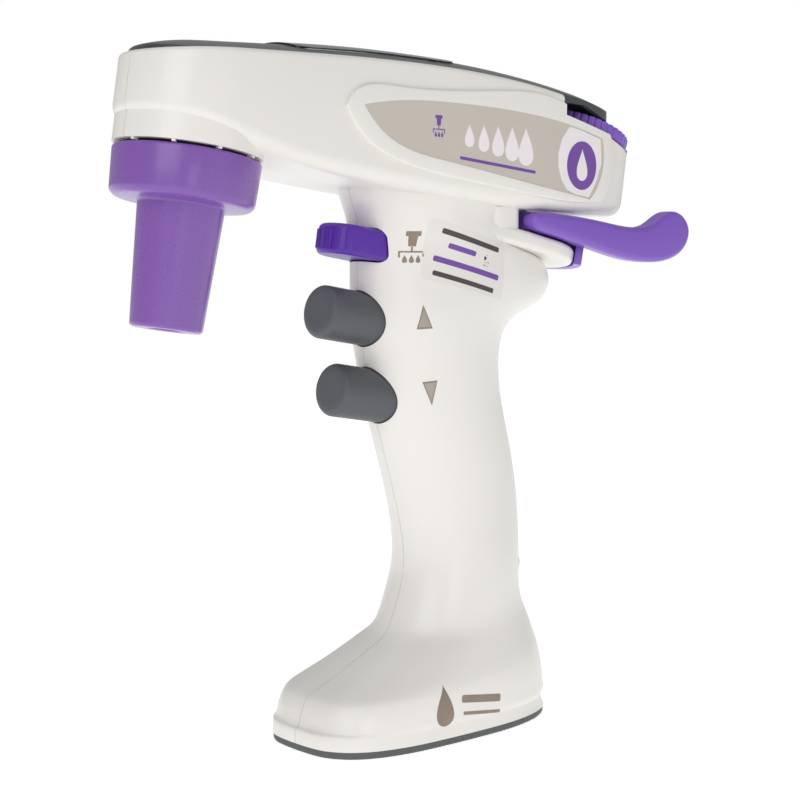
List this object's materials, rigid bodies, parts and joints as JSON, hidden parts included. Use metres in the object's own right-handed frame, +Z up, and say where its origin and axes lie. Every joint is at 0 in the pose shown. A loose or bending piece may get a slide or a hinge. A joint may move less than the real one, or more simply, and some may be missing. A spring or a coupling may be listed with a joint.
{
  "type": "motorized pipette controller",
  "caption": "Pistol-grip electric pipette controller with a nose cone, two finger triggers, a side button, a speed wheel, a swivelling hand rest and a top display.",
  "frame": {"origin": "centre of the foot's underside", "axes": "+Z up the handle, -X towards the nozzle, +X towards the hand rest, +Y to the object's right-hand side"},
  "size_m": [0.198, 0.0496, 0.1954],
  "materials": {
    "housing": "satin white moulding",
    "dark": "fine satin",
    "violet": "satin",
    "deep_violet": "satin",
    "grey_pad": "soft matt",
    "label": "printed film",
    "window": "clear glossy",
    "display": "glossy",
    "board": "lacquered",
    "rubber": "matt",
    "silicone": "soft",
    "filter": "translucent",
    "inner": "matt",
    "steel": "bright",
    "tube": "soft",
    "cell": "shrink film"
  },
  "bodies": {
    "casing": {"left_housing": "housing", "right_housing": "housing", "left_label": "label", "right_label": "label", "top_cover": "dark", "display_window": "window", "membrane_filter": "filter", "nose_socket": "housing", "filter_seal": "rubber", "aspirate_spring": "steel", "dispense_spring": "steel", "valve_block": "inner", "aliquot_switch": "inner", "aliquot_spring": "steel", "dial_encoder": "inner", "swivel_pin": "steel", "pin_clip": "steel", "friction_washer": "silicone", "pump_motor": "steel", "pump_head": "inner", "pump_bracket": "steel", "foot_pad": "rubber", "base_plate": "inner", "main_board": "board", "display_module": "display", "battery_cell": "cell", "lower_contact": "steel", "upper_contact": "steel", "battery_cradle": "inner", "charging_jack": "inner", "nozzle_tube": "tube", "pump_tube": "tube", "battery_lead": "rubber", "casing_screws": "steel"},
    "nose": {"nose_cone": "violet", "pipette_holder": "silicone"},
    "aspirate_key": {"aspirate_trigger": "grey_pad", "aspirate_stem": "steel"},
    "dispense_key": {"dispense_trigger": "grey_pad", "dispense_stem": "steel"},
    "aliquot_key": {"aliquot_button": "deep_violet"},
    "dial": {"thumbwheel": "violet", "wheel_axle": "steel"},
    "rest": {"hand_rest": "violet"},
    "pump_shaft": {"motor_shaft": "steel"}
  },
  "joints": [
    {"name": "nose_turn", "type": "hinge", "parent": "casing", "child": "nose", "pos_m": [-0.08328, 0, 0.13857], "axis": [0.1599, 0, 0.9871], "range_deg": [0, 90]},
    {"name": "aspirate_press", "type": "slide", "parent": "casing", "child": "aspirate_key", "axis": [0.9871, 0, -0.1599], "range_m": [0, 0.004], "stiffness_N_per_m": 350, "springref_m": -0.003, "deforming": ["aspirate_spring"]},
    {"name": "dispense_press", "type": "slide", "parent": "casing", "child": "dispense_key", "axis": [0.9871, 0, -0.1599], "range_m": [0, 0.004], "stiffness_N_per_m": 350, "springref_m": -0.003, "deforming": ["dispense_spring"]},
    {"name": "aliquot_press", "type": "slide", "parent": "casing", "child": "aliquot_key", "axis": [0.9871, 0, -0.1599], "range_m": [0, 0.0025], "stiffness_N_per_m": 400, "springref_m": -0.002, "deforming": ["aliquot_spring"]},
    {"name": "dial_spin", "type": "hinge", "parent": "casing", "child": "dial", "pos_m": [0.0663, 0, 0.17775], "axis": [0.342, 0, 0.9397], "continuous": true},
    {"name": "rest_swivel", "type": "hinge", "parent": "casing", "child": "rest", "pos_m": [0.04, 0, 0.1428], "axis": [0.2079, 0, 0.9781], "range_deg": [0, 40]},
    {"name": "pump_spin", "type": "hinge", "parent": "casing", "child": "pump_shaft", "pos_m": [0, 0, 0.168], "axis": [1, 0, 0], "continuous": true}
  ]
}
